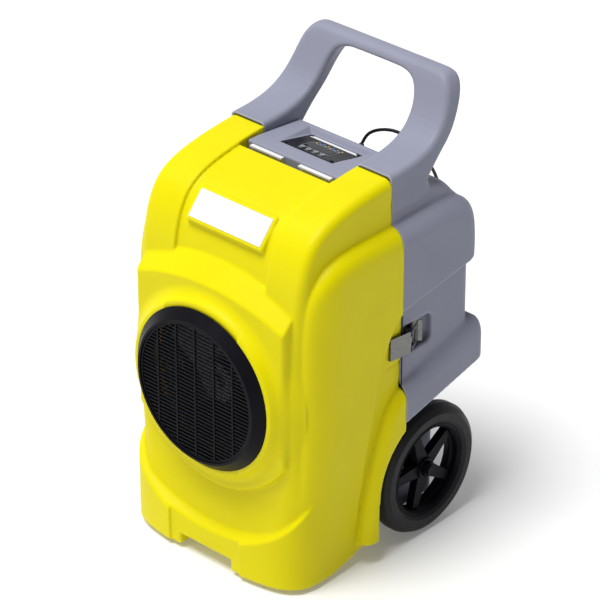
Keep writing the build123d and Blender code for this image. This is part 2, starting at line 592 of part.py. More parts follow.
def make_drain_spigot():
    """Tail, wall flange and plain spigot with an end bead for a push-on hose."""
    wall = LOWER_REAR_Y
    tail = rod("y", DRAIN_X, DRAIN_Z, 7.5, wall - WALL - 8, wall)
    flange = rod("y", DRAIN_X, DRAIN_Z, 14, wall, wall + 5)
    spigot = rod("y", DRAIN_X, DRAIN_Z, DRAIN_R, wall + 5, DRAIN_END_Y)
    bore = rod("y", DRAIN_X, DRAIN_Z, 4, wall - WALL - 9, DRAIN_END_Y + 1)
    return tail.fuse(flange, spigot) - bore


# ---- air intake ----

def make_intake_frame():
    y0, y1 = INTAKE_Y, INTAKE_Y + 8
    frame = box(-139, 139, y0, y1, 312, 566) - box(-118, 118, y0 - 1, y1 + 1, 330, 544)
    return frame


def make_air_filter():
    """Pleated element in a slim carrier with a pull tab; it slides straight out at the back."""
    y0, y1 = 150.0, INTAKE_Y + 6
    carrier = box(-117, 117, y0, y1, 331, 543) - box(-109, 109, y0 - 1, y1 + 1, 339, 535)
    pleats, pitch = 18, 12.0
    bars = [box(-104 + i * pitch - 1.5, -104 + i * pitch + 1.5, y0 + 4, y1 - 4, 338, 536) for i in range(pleats)]
    web = box(-110, 110, y0 + 12, y0 + 14, 338, 536)
    tab = box(-18, 18, y1 - 2, y1 + 10, 336, 340)
    return carrier.fuse(web, tab, *bars)


# ---- controls ----

def make_control_plate():
    plate = panel_block(PANEL_HALF_X, PANEL_LENGTH / 2, -PANEL_T, 0)
    plate -= extrude(panel_plane(PANEL_T + 1) * Pos(0, -4) * Rectangle(58, 24), PANEL_T + 2)
    for x in key_places():
        plate -= extrude(panel_plane(PANEL_T + 1) * Pos(x, KEY_Y) * Circle(KEY_R + 0.4), PANEL_T + 2)
    for x, y in screw_places():
        plate -= extrude(panel_plane(PANEL_T + 1) * Pos(x, y) * Circle(1.8), PANEL_T + 2)
    return plate


KEY_Y = -26.0
KEY_SHANK = 5.0


def key_places():
    return [(i - (KEY_COUNT - 1) / 2) * KEY_PITCH for i in range(KEY_COUNT)]


def screw_places():
    edge = PANEL_LENGTH / 2 - 6
    return [(x, y) for x in (-PANEL_HALF_X + 7, PANEL_HALF_X - 7) for y in (-edge, edge)]


def make_key(x):
    cap = extrude(panel_plane(KEY_SHANK) * Pos(x, KEY_Y) * Circle(KEY_R), KEY_SHANK + KEY_PROUD)
    return cap


def make_panel_screws():
    screws = []
    for x, y in screw_places():
        head = extrude(panel_plane(0) * Pos(x, y) * Circle(3.4), 1.4)
        shank = extrude(panel_plane(7) * Pos(x, y) * Circle(1.7), 7.0)
        screws.append(head + shank)
    return screws[0].fuse(*screws[1:])


def make_display_lens():
    return extrude(panel_plane(1.6) * Pos(0, -4) * Rectangle(57.4, 23.4), 2.0)


def make_control_board():
    board = extrude(panel_plane(11.6) * Pos(0, -6) * Rectangle(94, 58), 1.6)
    screen = extrude(panel_plane(10) * Pos(0, -4) * Rectangle(56, 22), 8.0)
    return board + screen


def make_electrical_box():
    tub = box(-78, 78, -38, 38, 606, 671) - box(-75, 75, -35, 35, 609, 668)
    hangers = [box(*sorted((side * 78, side * 82)), 4, 24, 645, 705 - WALL) for side in (-1, 1)]
    return tub.fuse(*hangers)


def make_run_capacitor():
    can = rod("z", 104, 0, 20, 606, 676)
    strap = tube("z", 104, 0, 22, 20, 630, 640) + box(78, 86, -12, 12, 630, 640)
    strap -= rod("z", 104, 0, 20, 600, 680)
    return can.fuse(strap)


def make_hanger_strips():
    strips = [box(*sorted((side * 20, side * 95)), -53, -45, 723.5, 726.5) for side in (-1, 1)]
    lips = [box(*sorted((side * 20, side * 95)), -46.5, -44.0, 700, 724) for side in (-1, 1)]
    return strips[0].fuse(strips[1], *lips)


def make_badge_plate():
    """Blank plate on the sloping front, above the arch."""
    low, high = Vector(0, -220.0, 655.0), Vector(0, -183.0, 698.0)
    middle, slope = (low + high) / 2, high - low
    plane = Plane(middle, x_dir=(1, 0, 0), z_dir=(0, -slope.Z, slope.Y))
    return extrude(plane.offset(-0.4) * Rectangle(170, slope.length - 3), 2.0)


# ---- latches ----

def latch_sheet(z):
    """Sketch plane of the right latch: x is outward, y is rearward, origin on the lever pivot."""
    return Plane((LATCH_X, LATCH_Y, LATCH_Z + z), x_dir=(1, 0, 0), z_dir=(0, 0, 1))


def latch_solid(face, low, high):
    return extrude(latch_sheet(low) * face, high - low)


def make_latch_bracket():
    floor = latch_solid(polygon([(-16, -6), (-14, -6), (-14, 60), (-16, 60)]), -22, 22)
    ear = polygon([(-15, -6), (-4, -6), (2, -5), (5, 0), (2, 5), (-4, 6), (-15, 6)])
    ears = [latch_solid(ear, low, low + 3) for low in (-21, 18)]
    pin = latch_solid(Circle(LATCH_PIN_R), -21, 21)
    return floor.fuse(*ears, pin)


def make_latch_lever():
    plate_face = polygon([(11, 8), (-6, 44), (-2, 51), (-4, 52), (-8.4, 44.4), (9, 8)])
    plate = latch_solid(plate_face, -21, 21) - latch_solid(Pos(0, 14) * Rectangle(40, 26), -11.5, 11.5)
    link = make_hull(ShapeList([*Circle(5).edges(), *(Pos(*CLAW_PIVOT) * Circle(5)).edges()]))
    arm = polygon([(9.8, 8.4), (3.4, 22), (-4, 22), (0, 4), (6, 4)])
    links = [latch_solid(face, low, low + 3) for low in (-17, 14) for face in (link, arm)]
    lever = plate.fuse(*links)
    for low in (-18, 13):
        lever -= latch_solid(Circle(LATCH_PIN_R + RUNNING), low, low + 5)
    pin = latch_solid(Pos(*CLAW_PIVOT) * Circle(LATCH_PIN_R), -17, 17)
    return lever + pin


def make_latch_claw():
    plate = latch_solid(polygon([(10, 4), (12, 4), (5.5, -42), (-0.6, -42), (-0.6, -41), (3.6, -41)]), -22, 22)
    barrel = latch_solid(Pos(*CLAW_PIVOT) * Circle(5), -10, 10)
    tongue = latch_solid(polygon([(-4.5, 12), (9.5, 2.5), (12, 4), (11.5, 6), (0, 19.5)]), -10, 10)
    claw = plate.fuse(barrel, tongue)
    return claw - latch_solid(Pos(*CLAW_PIVOT) * Circle(LATCH_PIN_R + RUNNING), -11, 11)


def make_latch_keeper():
    return latch_solid(polygon([(-0.8, -40.4), (2.4, -40.4), (2.4, -32), (0.6, -24), (-0.8, -24)]), -20, 20)


def on_side(shape, side):
    return shape if side > 0 else mirror(shape, Plane.YZ)


# ---- wheels ----

def wheel_turn(outline):
    """Outline of (radius, x) points turned about the right wheel's axis."""
    face = make_face(Polyline(*[(x, radius) for radius, x in outline], close=True))
    placed = Plane((0, WHEEL_Y, WHEEL_R), x_dir=(1, 0, 0), z_dir=(0, -1, 0)) * face
    return revolve(placed, Axis((0, WHEEL_Y, WHEEL_R), (1, 0, 0)), 360)


def make_tyre():
    return wheel_turn([(98, WHEEL_X0), (112, WHEEL_X0), (122, WHEEL_X0 + 7), (WHEEL_R, WHEEL_X0 + 17),
                       (WHEEL_R, WHEEL_X1 - 17), (122, WHEEL_X1 - 7), (112, WHEEL_X1), (98, WHEEL_X1),
                       (92, WHEEL_X1 - 6), (92, WHEEL_X0 + 6)])


SPOKE_COUNT, SPOKE_PHASE = 5, 18.0


def make_rim():
    hoop = wheel_turn([(92, WHEEL_X0 + 6), (92, WHEEL_X1 - 6), (86, WHEEL_X1 - 4), (82, WHEEL_X1 - 9),
                       (82, WHEEL_MID_X + 4), (78, WHEEL_MID_X), (78, WHEEL_MID_X - 4), (84, WHEEL_X0 + 6)])
    hub = wheel_turn([(AXLE_R + 4, WHEEL_X0 + 2), (24, WHEEL_X0 + 2), (24, WHEEL_MID_X), (20, WHEEL_X1 - 12),
                      (AXLE_R + 4, WHEEL_X1 - 12)])
    spokes = []
    for i in range(SPOKE_COUNT):
        spoke = prism([(-13, 18), (13, 18), (8, 80), (-8, 80)], "x", WHEEL_MID_X - 8, WHEEL_MID_X + 8)
        spokes.append(Pos(0, WHEEL_Y, WHEEL_R) * Rot(SPOKE_PHASE + 360 / SPOKE_COUNT * i, 0, 0) * spoke)
    return largest(hoop.fuse(hub, *spokes))


def make_bush():
    return tube("x", WHEEL_Y, WHEEL_R, AXLE_R + 4, AXLE_R + RUNNING, WHEEL_X0 + 2, WHEEL_X1 - 12)


def make_axle():
    return rod("x", WHEEL_Y, WHEEL_R, AXLE_R, -WHEEL_X1 + 2, WHEEL_X1 - 2)


def make_axle_washers():
    washers = [tube("x", WHEEL_Y, WHEEL_R, 16, AXLE_R,
                    *sorted((side * (LOWER_X + 8.5), side * (LOWER_X + 10.5))))
               for side in (-1, 1)]
    return washers[0] + washers[1]


def make_hub_cap():
    """Push-on cap over the end of the axle, with six flats."""
    grip = slab(RegularPolygon(15, 6), "x", WHEEL_X1 - 11.5, WHEEL_X1 - 4)
    nose = rod("x", 0, 0, 10.5, WHEEL_X1 - 4, WHEEL_X1 + 1)
    cap = Pos(0, WHEEL_Y, WHEEL_R) * (grip + nose)
    return cap - rod("x", WHEEL_Y, WHEEL_R, AXLE_R, 0, WHEEL_X1 - 2)


def make_front_feet():
    feet = [rod("z", x, -185, 20, 0, SHELL_BOTTOM_Z) for x in (-130, 130)]
    return feet[0] + feet[1]


# ---- power cord ----

def make_cord_gland():
    body = gland_bar(11, 0, 4) + gland_bar(7.9, -8, 0)
    boot = loft([gland_plane(4) * Circle(7), gland_plane(GLAND_TOP) * Circle(4.2)])
    return body + boot


def corner_radii(points):
    """Largest arc that both runs beside each corner allow."""
    vectors = [Vector(*p) for p in points]
    radii = []
    for before, here, after in zip(vectors, vectors[1:], vectors[2:]):
        turn = radians((here - before).get_angle(after - here))
        radii.append(0.45 * min((here - before).length, (after - here).length) / tan(turn / 2))
    return radii


def make_power_cord():
    radii = corner_radii(CORD_ROUTE)
    path = FilletPolyline(*CORD_ROUTE, radius=radii)
    cord = sweep(Plane(path @ 0, z_dir=path % 0) * Circle(CORD_D / 2), path=path)
    tail_path = FilletPolyline(*TAIL_ROUTE, radius=corner_radii(TAIL_ROUTE))
    tail = sweep(Plane(tail_path @ 0, z_dir=tail_path % 0) * Circle(CORD_D / 2), path=tail_path)
    return cord + tail


COIL_INNER_R = COIL_MID_R - COIL_ROWS * CORD_D / 2
COIL_OUTER_R = COIL_MID_R + COIL_ROWS * CORD_D / 2


def make_cord_coil():
    ring = tube("z", COIL_X, COIL_Y, COIL_OUTER_R, COIL_INNER_R, 0, COIL_LAYERS * CORD_D)
    return fillet(ring.edges().filter_by(GeomType.CIRCLE), 4)


def make_plug_body():
    """Moulded plug with a tapered tail, lying on the floor beside the coil."""
    body = box(PLUG_X - 58, PLUG_X - 22, PLUG_Y - 14, PLUG_Y + 14, 0, 2 * PLUG_Z)
    body = fillet(body.edges().filter_by(Axis.X), 7)
    tail = loft([Plane((x, PLUG_Y, PLUG_Z), z_dir=(1, 0, 0)) * Circle(r)
                 for x, r in ((PLUG_X - 24, 8.5), (PLUG_X, 4.5))])
    return body + tail


def make_plug_pins():
    x = PLUG_X - 58
    blades = [box(x - 18, x, PLUG_Y + y - 0.8, PLUG_Y + y + 0.8, PLUG_Z + 0.8, PLUG_Z + 7.2)
              for y in (-6.3, 6.3)]
    return blades[0].fuse(blades[1], rod("x", PLUG_Y, PLUG_Z - 5, 2.4, x - 20, x))


def main():
    os.makedirs("parts", exist_ok=True)
    pieces = {
        "front_shell": make_front_shell, "rear_shell": make_rear_shell, "seam_gasket": make_seam_gasket,
        "base_tray": make_base_tray, "front_feet": make_front_feet, "badge_plate": make_badge_plate,
        "hanger_strips": make_hanger_strips, "outlet_ring": make_outlet_ring, "outlet_grille": make_outlet_grille,
        "fan_shroud": make_fan_shroud, "fan_bracket": make_fan_bracket, "fan_motor": make_fan_motor,
        "fan_blades": make_fan_blades, "compressor": make_compressor, "compressor_mounts": make_compressor_mounts,
        "compressor_bolts": make_compressor_bolts, "coil_frame": make_coil_frame, "drip_pan": make_drip_pan,
        "refrigerant_lines": make_refrigerant_lines, "filter_drier": make_filter_drier,
        "pump_tank": make_pump_tank, "condensate_pump": make_condensate_pump, "float_switch": make_float_switch,
        "drain_hoses": make_drain_hoses, "drain_spigot": make_drain_spigot, "intake_frame": make_intake_frame,
        "air_filter": make_air_filter, "control_plate": make_control_plate,
        "display_lens": make_display_lens, "panel_screws": make_panel_screws, "control_board": make_control_board,
        "electrical_box": make_electrical_box,
        "run_capacitor": make_run_capacitor, "axle": make_axle, "axle_brackets": make_axle_brackets,
        "axle_washers": make_axle_washers, "cord_gland": make_cord_gland, "power_cord": make_power_cord,
        "cord_coil": make_cord_coil, "plug_body": make_plug_body, "plug_pins": make_plug_pins,
    }
    for name, make in pieces.items():
        save(name, make())
    save("condenser_coil", coil(CONDENSER_Y))
    save("evaporator_coil", coil(EVAPORATOR_Y))
    for number, x in enumerate(key_places(), 1):
        save(f"key_{number}", make_key(x))
    moving = {"tyre": make_tyre, "rim": make_rim, "wheel_bush": make_bush, "latch_lever": make_latch_lever,
              "latch_claw": make_latch_claw}
    fixed = {"hub_caps": make_hub_cap, "latch_brackets": make_latch_bracket, "latch_keepers": make_latch_keeper}
    for name, make in fixed.items():
        save(name, both_sides(make()))
    for name, make in moving.items():
        right = make()
        for word, side in SIDES.items():
            save(f"{name}_{word}", on_side(right, side))


main()
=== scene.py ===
"""Looks of the portable dehumidifier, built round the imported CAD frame. Z is up and the outlet faces -Y."""
import math

import bmesh
import bpy
import numpy as np
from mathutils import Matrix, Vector


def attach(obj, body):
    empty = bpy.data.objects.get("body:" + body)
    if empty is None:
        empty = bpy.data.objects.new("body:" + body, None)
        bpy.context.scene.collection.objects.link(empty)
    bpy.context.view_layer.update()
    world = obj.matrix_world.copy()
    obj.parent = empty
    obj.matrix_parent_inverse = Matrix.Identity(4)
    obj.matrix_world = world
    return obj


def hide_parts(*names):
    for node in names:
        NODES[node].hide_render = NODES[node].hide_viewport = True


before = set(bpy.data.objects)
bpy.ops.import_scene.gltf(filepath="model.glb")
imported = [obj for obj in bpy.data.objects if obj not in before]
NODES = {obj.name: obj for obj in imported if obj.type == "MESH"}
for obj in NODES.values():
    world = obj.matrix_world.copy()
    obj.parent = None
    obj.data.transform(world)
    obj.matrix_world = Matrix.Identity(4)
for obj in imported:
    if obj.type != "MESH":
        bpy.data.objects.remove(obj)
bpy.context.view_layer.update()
SEAM_Y = 41.5       # the seam of the two shells in the row frame, in mm
SHELL_GRID = 3.5    # cell size of the grid that the two shells are meshed on
CONSOLE_GRID = 1.6
WALL = 5.0          # thickness of the moulded shells

# Shapes below are in millimetres with Y counted from the seam. place() turns them into metres in the row
# frame.


def place(points):
    return (np.asarray(points, float) + (0, SEAM_Y, 0)) * 0.001


# ---- camera and cord ----

def make_camera():
    """Long lens from above and to the right of the outlet; distance and target are in metres."""
    azimuth, elevation, distance = math.radians(42.5), math.radians(30.0), 6.281
    target = Vector((0, 0.0415, 0.430))
    away = Vector((math.sin(azimuth) * math.cos(elevation), -math.cos(azimuth) * math.cos(elevation),
                   math.sin(elevation)))
    data = bpy.data.cameras.new("camera")
    data.sensor_width = 36.0
    data.lens = 210.0
    data.shift_x = -0.0165
    data.shift_y = -0.0028
    data.clip_end = 60.0
    camera = bpy.data.objects.new("camera", data)
    bpy.context.scene.collection.objects.link(camera)
    camera.location = target + away * distance
    camera.rotation_euler = (-away).to_track_quat("-Z", "Y").to_euler()
    bpy.context.scene.camera = camera


CORD_D = 6.0
CORD_ROUTE = [
    (24, 110.5, 709.3), (24.5, 118, 720.5), (36, 124, 733), (58, 130, 742), (82, 137, 744), (106, 147, 731),
    (124, 161, 705), (125, 182, 672), (116, 206, 640), (112, 226, 601), (106, 236, 556), (100, 240, 506),
    (93, 242, 450), (86, 244, 392), (80, 246, 334), (75, 248, 276), (71, 250, 218), (68, 253, 162),
    (65, 257, 110), (59, 262, 64), (46, 267, 28), (22, 268, 7), (-6, 262, 3), (-30, 255.5, 3), (-52, 253, 3),
]
TAIL_ROUTE = [(-68, 264, 21), (-84, 266, 19), (-99, 266.6, 15), (-115, 267, 12)]
COIL_X, COIL_Y, COIL_OUTER, COIL_INNER = -52.0, 300.0, 46.5, 25.5
COIL_LAYERS, LAYER_TURNS, POINTS_A_TURN = 4, 4, 14


def coil_points():
    """Turns wound inward and outward by layers, clockwise from above, starting at the front of the coil."""
    stretch = 1 / math.cos(math.pi / POINTS_A_TURN)
    count = COIL_LAYERS * LAYER_TURNS * POINTS_A_TURN
    points = []
    for i in range(1, count - 1):
        turns = i / POINTS_A_TURN
        layer = min(int(turns / LAYER_TURNS), COIL_LAYERS - 1)
        part = turns / LAYER_TURNS - layer
        inward = part if layer % 2 == 0 else 1 - part
        radius = (COIL_OUTER + (COIL_INNER - COIL_OUTER) * inward) * stretch
        if layer == COIL_LAYERS - 1:
            radius = (COIL_INNER + 10 * part) * stretch
        rise = min(1.0, max(0.0, (part - 0.93) / 0.07)) if layer < COIL_LAYERS - 1 else 0.0
        angle = -math.pi / 2 - 2 * math.pi * turns
        points.append((COIL_X + radius * math.cos(angle), COIL_Y + radius * math.sin(angle),
                       CORD_D * (layer + 0.5 + rise)))
    return points


def make_cord(material):
    """Mains cord from its gland, down behind the machine, into a coil on the floor."""
    points = place(CORD_ROUTE + coil_points() + TAIL_ROUTE)
    data = bpy.data.curves.new("mains_cord", "CURVE")
    data.dimensions = "3D"
    spline = data.splines.new("NURBS")
    spline.points.add(len(points) - 1)
    for point, at in zip(spline.points, points):
        point.co = (*at, 1.0)
    spline.use_endpoint_u = True
    spline.order_u = 3
    spline.resolution_u = 5
    data.bevel_depth = CORD_D / 2000
    data.bevel_resolution = 5
    data.materials.append(material)
    cord = bpy.data.objects.new("mains_cord", data)
    bpy.context.scene.collection.objects.link(cord)
    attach(cord, "cabinet")
    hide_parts("power_cord", "cord_coil")


# ---- solid fields: distance to a surface in mm, negative inside ----

def cut_round(a, b, r):
    """What a and b share, with their shared edge rounded to radius r."""
    past = np.sqrt(np.maximum(r + a, 0) ** 2 + np.maximum(r + b, 0) ** 2)
    return np.minimum(-r, np.maximum(a, b)) + past


def join_round(a, b, r):
    """Either a or b, with a fillet of radius r between them."""
    short = np.sqrt(np.maximum(r - a, 0) ** 2 + np.maximum(r - b, 0) ** 2)
    return np.maximum(r, np.minimum(a, b)) - short


def minus(a, b, r):
    """a without b, with the new edge rounded to radius r."""
    return cut_round(a, -b, r)


def every(*fields):
    """What all the fields share, with sharp edges."""
    whole = fields[0]
    for field in fields[1:]:
        whole = np.maximum(whole, field)
    return whole


def ramp(low, high, value):
    """From 0 at low to 1 at high, with a smooth start and end."""
    t = np.clip((value - low) / (high - low), 0, 1)
    return t * t * (3 - 2 * t)


def softened(points, rounds=2):
    """Closed outline with its corners cut off, a few times over."""
    line = np.array(points, float)
    for _ in range(rounds):
        after = np.roll(line, -1, 0)
        line = np.stack([0.75 * line + 0.25 * after, 0.25 * line + 0.75 * after], 1).reshape(-1, 2)
    return line


def outline(u, v, points):
    """Distance from a closed outline in the plane of u and v."""
    nearest, inside = None, None
    line = np.asarray(points, float)
    for (ax, ay), (bx, by) in zip(line, np.roll(line, -1, 0)):
        ex, ey = bx - ax, by - ay
        wu, wv = u - ax, v - ay
        t = np.clip((wu * ex + wv * ey) / (ex * ex + ey * ey), 0, 1)
        d = (wu - ex * t) ** 2 + (wv - ey * t) ** 2
        crossed = ((ay > v) != (by > v)) & (u < ex * (v - ay) / (ey if ey else 1.0) + ax)
        nearest = d if nearest is None else np.minimum(nearest, d)
        inside = crossed if inside is None else inside ^ crossed
    return np.where(inside, -1.0, 1.0) * np.sqrt(nearest)


WHEEL_Y, WHEEL_Z, ARCH_R, ARCH_X = 75.0, 127.0, 141.0, 176.0
OUTLET_Z = 366.0
BADGE_Y, BADGE_Z = -201.5, 676.5
BADGE_RUN, BADGE_RISE = 37, 43      # slope of the panel under the badge
BADGE_SLANT = 56.7


def wheel_arch(x, y, z):
    """Space that the wheel turns in."""
    return every(np.hypot(y - WHEEL_Y, z - WHEEL_Z) - ARCH_R, ARCH_X - x)


COLUMN = softened([
    (60, 740), (4, 739), (-40, 735.5), (-88, 730), (-135, 721), (-171, 708), (-199, 687), (-217, 656),
    (-228, 620), (-234, 580), (-239, 530), (-243, 470), (-246, 400), (-247, 260), (-249, 190), (-254, 150),
    (-262, 110), (-264, 60), (-264, -60), (60, -60)])
PLINTH = softened([
    (-60, -287), (60, -286), (120, -280), (166, -270), (196, -250), (208, -220), (209, -185), (205, -150),
    (199, -115), (193, -75), (193, 80), (-60, 80)])
POD = softened([
    (80, 650), (0, 650), (-125, 650), (-170, 640), (-198, 620), (-216, 592), (-227, 545), (-231, 440),
    (-234, 260), (-236, 100), (-236, -60), (80, -60)])
DISH = softened([
    (80, 489), (0, 484), (-22, 462), (-44, 420), (-64, 350), (-80, 270), (-96, 150), (-106, 20), (-110, -40),
    (80, -40)])
FENDER = softened([
    (70, 338), (0, 336), (-20, 322), (-43, 293), (-62, 243), (-84, 168), (-99, 87), (-108, 20), (-108, -60),
    (70, -60)])


def badge_pad(x, y, z):
    """Raised pad that the badge plate lies on."""
    up = (-(y - BADGE_Y) * BADGE_RISE + (z - BADGE_Z) * BADGE_RUN) / BADGE_SLANT
    along = ((y - BADGE_Y) * BADGE_RUN + (z - BADGE_Z) * BADGE_RISE) / BADGE_SLANT
    edge = cut_round(np.abs(x) - 91, np.abs(along) - 33, 5)
    return every(cut_round(edge, up - 0.7, 1.5), -up - 20)


def front_field(x, y, z):
    """Front shell as a solid block; trim() and hollow() make it a shell."""
    x = np.abs(x)
    side = outline(y, z, COLUMN)
    upper = ramp(110, 290, z)
    body = cut_round(side, x - (206 - 14 * upper), 60 - 43 * upper)
    # the sunk middle panel
    body = minus(body, every(x - 109, -(side + 6.5), 540 - z), 2)
    body = join_round(body, badge_pad(x, y, z), 1.5)
    # the pillow round the outlet, under its arched ledge
    ledge = (np.hypot(x, z - 97) - (470 + (y + 260))) * 0.707
    radius = np.hypot(x, z - OUTLET_Z)
    spread = join_round(radius - 204, every(x - 177, 300 - z), 44)
    pillow = cut_round(every(spread, x - 177), -y - 262, 8)
    pillow = cut_round(every(pillow, y + 200), ledge, 2)
    body = join_round(body, pillow, 1.5)
    # the collar and its bore
    collar = cut_round((radius - (164 + 0.75 * (y + 282))) * 0.8, -y - 282, 2.5)
    body = join_round(body, every(collar, y + 230), 9)
    body = minus(body, every(radius - 150.4, y + 236), 1.5)
    # the plinth, its top edge rising to the corners
    top = (z - (86 + 42 * (np.minimum(x, 215) / 172) ** 2) - 0.8 * (y + 262)) / 1.28
    plinth = cut_round(outline(x, y, PLINTH), top, 3)
    body = join_round(body, plinth, 2)
    # side pods, bulging from a crease on the side of the body
    swell = 0.45 + 0.34 * ramp(560, 650, z)
    pod = cut_round(x - (222 - 14 * np.clip((300 - z) / 240, 0, 1)), outline(y, z, POD) * swell, 30)
    dish_floor = 214 + 0.03 * (z - 342)
    pod = minus(every(pod, 180 - x), every(outline(y, z, DISH), dish_floor - x), 5)
    body = join_round(body, pod, 2.5)
    # the flare round the wheel
    flare = every(cut_round(x - 233, outline(y, z, FENDER) * 1.2, 26), 180 - x, 46 - z)
    body = join_round(body, flare, 3)
    body = minus(body, wheel_arch(x, y, z), 3)
    body = minus(body, every(-(y + 68), z - 122, 192 - x), 3)
    # underside, rising towards the wheels
    body = cut_round(body, 10 + 0.235 * np.clip(y + 166, 0, 80) - z, 4)
    # notch for the console, shallow recess and hand hold in the plinth
    body = minus(body, every(x - 110, -y - 61, 690 - z), 2.5)
    body = minus(body, every(x - 86, y + 279), 1.5)
    body = minus(body, every(x - 62, z - 32, y + 240), 4)
    # groove under the latch claw
    groove = np.sqrt(np.maximum(-34 - y, 0) ** 2 + (z - 385) ** 2 + (x - 216) ** 2) - 2.6
    return minus(body, groove, 1)


REAR_TOP = softened([
    (-60, 706), (85, 706), (113, 695), (145, 681), (178, 650), (201, 612), (213, 578), (216, 545), (213, 505),
    (206, 470), (190, 440), (-60, 440)])
BAND = softened([
    (-60, 744), (-1, 744), (30, 745), (62, 748.5), (90, 755), (114, 766), (135, 784), (150, 806), (161, 830),
    (170, 852), (178, 866), (190, 871), (206, 868), (212, 857), (206, 838), (196, 816), (184, 795), (171, 775),
    (156, 758), (138, 742), (118, 722), (98, 700), (90, 680), (-60, 680)], 1)
FRAME_OUT = softened([
    (-80, 600), (192, 600), (191, 742), (186, 785), (179, 822), (170, 848), (152, 868), (126, 870.5),
    (-80, 870.5)])
WINDOW = softened([
    (-80, 560), (110, 560), (110, 740), (107, 782), (101, 814), (89, 838), (68, 847), (40, 848), (-80, 848)])
REAR_POD = softened([
    (-60, 650), (0, 650), (105, 653), (150, 650), (184, 640), (206, 614), (214, 580), (216, 545), (213, 505),
    (213, 430), (-60, 430)])


def rear_field(x, y, z):
    """Rear shell with the handle, as a solid block."""
    x = np.abs(x)
    body = cut_round(outline(y, z, REAR_TOP), x - 192, 24)
    # pods, overhanging the waist
    pod = cut_round(cut_round(x - 222, y - 213, 20), outline(y, z, REAR_POD) * 0.8, 30)
    pod = cut_round(pod, (487 + 0.16 * y - z) / 1.02, 2)
    body = join_round(body, every(pod, 150 - x), 5)
    # waist
    waist = every(cut_round(x - 216, y - 190, 22), 300 - z, z - 512)
    body = join_round(body, waist, 2)
    # skirt over the wheels, running round the back
    skirt = cut_round(cut_round(x - 234, y - 217, 24), (z - (341 + 0.27 * y)) * 0.55, 22)
    skirt = cut_round(skirt, (264 + 0.235 * y - z) / 1.03, 2.5)
    body = join_round(body, every(skirt, z - 420), 6)
    # lower box between the wheels
    lower = cut_round(cut_round(x - 172, y - 154, 24), 30 - z, 5)
    body = join_round(body, every(lower, z - 330), 8)
    # the two legs and crossbar of the handle
    band = outline(y, z, BAND)
    handle = cut_round(band, outline(x, z, FRAME_OUT), 10)
    handle = minus(handle, outline(x, z, WINDOW), 10)
    body = join_round(body, handle, 13)
    body = minus(body, wheel_arch(x, y, z), 3)
    # intake recess, latch pockets, axle holes
    body = minus(body, every(x - 140.5, 177.5 - y, 310.5 - z, z - 567.5), 2)
    body = minus(body, every(x - 126, 150 - y, 322 - z, z - 552), 1.5)
    corner = cut_round(np.abs(z - 423) - 29, y - 85, 15)
    body = minus(body, every(corner, 200 - x, 2.5 - y), 3)
    return minus(body, every(np.hypot(y - WHEEL_Y, z - WHEEL_Z) - 8.6, x - 190), 1)


def console_field(x, y, z):
    """Console block between the handle legs, with the sunk seat of the control plate."""
    x = np.abs(x)
    deck = z - (730 - 0.098 * np.clip(y + 18, 0, 200))
    plane = 730 - (y + 9) * 18 / 81
    up = z - plane
    block = cut_round(cut_round(deck, np.abs(y - 25) - 69, 4), x - 107.6, 2)
    block = every(block, 697 - z)
    sunk = every(-up, (x - 65 - 1.1 * up) / 1.49, (y - 76 - 0.7 * up) / 1.22)
    block = minus(block, sunk, 1.5)
    block = minus(block, every(x - 61.3, np.abs(y - 31.5) - 41, -up - 2.1), 0.6)
    return every(block, -every(x - 51, np.abs(y - 31.5) - 31, -up - 60))


# ---- from field to mesh ----

EDGES = [
    (0, 1), (2, 3), (4, 5), (6, 7), (0, 2), (1, 3), (4, 6), (5, 7), (0, 4), (1, 5), (2, 6), (3, 7)]
CORNERS = [(i, j, k) for i in (0, 1) for j in (0, 1) for k in (0, 1)]


